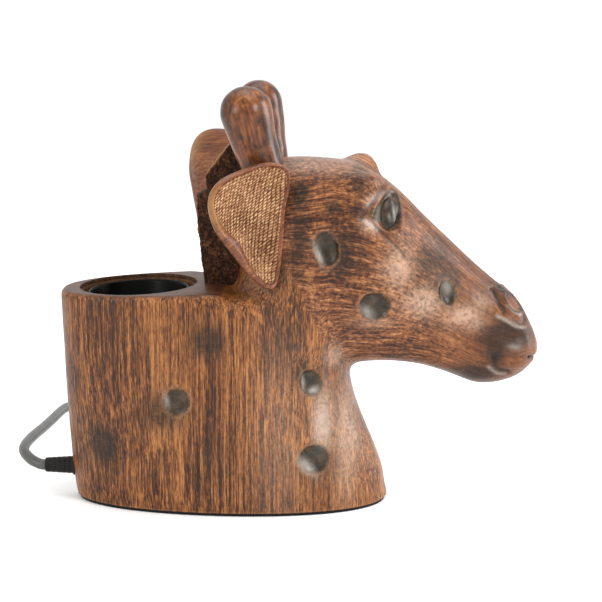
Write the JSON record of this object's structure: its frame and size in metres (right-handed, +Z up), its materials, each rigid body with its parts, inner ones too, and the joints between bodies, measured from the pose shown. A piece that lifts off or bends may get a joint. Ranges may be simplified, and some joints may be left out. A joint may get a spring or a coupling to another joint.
{
  "type": "giraffe head table lamp base",
  "caption": "Table lamp base carved as a giraffe's head and neck, with a black lamp cup sunk in the stump behind it and a mains lead with an inline rocker switch.",
  "frame": {"origin": "middle of the foot pad's underside, where the lamp stands", "axes": "+X the way the giraffe looks, +Y its left side, +Z up"},
  "size_m": [0.3285, 0.2728, 0.2595],
  "materials": {
    "carved_wood": "brushed brown glaze over tan, satin",
    "ossicone_wood": "polished brown glaze, satin",
    "mane_fibre": "coarse dark woven fibre",
    "ear_hessian": "coarse tan hessian, glazed",
    "dowel_wood": "bare beech",
    "black_steel": "black lacquer",
    "black_phenolic": "moulded, satin",
    "white_ceramic": "glazed white",
    "brass": "plain",
    "zinc_steel": "zinc plated",
    "black_rubber": "matt",
    "grey_pvc": "satin dark grey",
    "black_plastic": "fine moulded grain",
    "wire_brown": "plain",
    "wire_blue": "plain"
  },
  "bodies": {
    "lamp": {"base_pad": "black_rubber", "base_plate": "black_steel", "base_screw_1": "zinc_steel", "base_screw_2": "zinc_steel", "base_screw_3": "zinc_steel", "base_screw_4": "zinc_steel", "cord_coil": "grey_pvc", "cord_tie": "black_rubber", "cord_to_coil": "grey_pvc", "cord_to_plug": "grey_pvc", "cord_to_switch": "grey_pvc", "ear_left": "carved_wood", "ear_lining_left": "ear_hessian", "ear_lining_right": "ear_hessian", "ear_right": "carved_wood", "giraffe_body": "carved_wood", "inner_lead": "grey_pvc", "lamp_cup": "black_steel", "lampholder_cap": "black_phenolic", "lampholder_insert": "white_ceramic", "lampholder_shell": "black_phenolic", "live_wire": "wire_brown", "mane": "mane_fibre", "neutral_wire": "wire_blue", "nipple_nut": "zinc_steel", "nipple_washer": "zinc_steel", "ossicone_dowel_left": "dowel_wood", "ossicone_dowel_right": "dowel_wood", "ossicone_left": "ossicone_wood", "ossicone_right": "ossicone_wood", "plug_body": "black_plastic", "plug_pin_1": "brass", "plug_pin_2": "brass", "relief_clip": "zinc_steel", "rocker_pin": "zinc_steel", "screw_shell": "brass", "strain_relief": "black_rubber", "switch_base": "black_plastic", "switch_contact_1": "brass", "switch_contact_2": "brass", "switch_cover": "black_plastic", "switch_screw_1": "zinc_steel", "switch_screw_2": "zinc_steel", "threaded_nipple": "zinc_steel"},
    "rocker": {"switch_rocker": "black_plastic"},
    "contact": {"centre_contact": "brass"}
  },
  "joints": [
    {"name": "switch_rocker_tilt", "type": "hinge", "parent": "lamp", "child": "rocker", "pos_m": [-0.047, 0.195, 0.0152], "axis": [0, 1, 0], "range_deg": [-16, 0]},
    {"name": "centre_contact_flex", "type": "hinge", "parent": "lamp", "child": "contact", "pos_m": [-0.0675, 0.0015, 0.0901], "axis": [0, 1, 0], "range_deg": [0, 8], "stiffness_Nm_per_rad": 0.12}
  ]
}
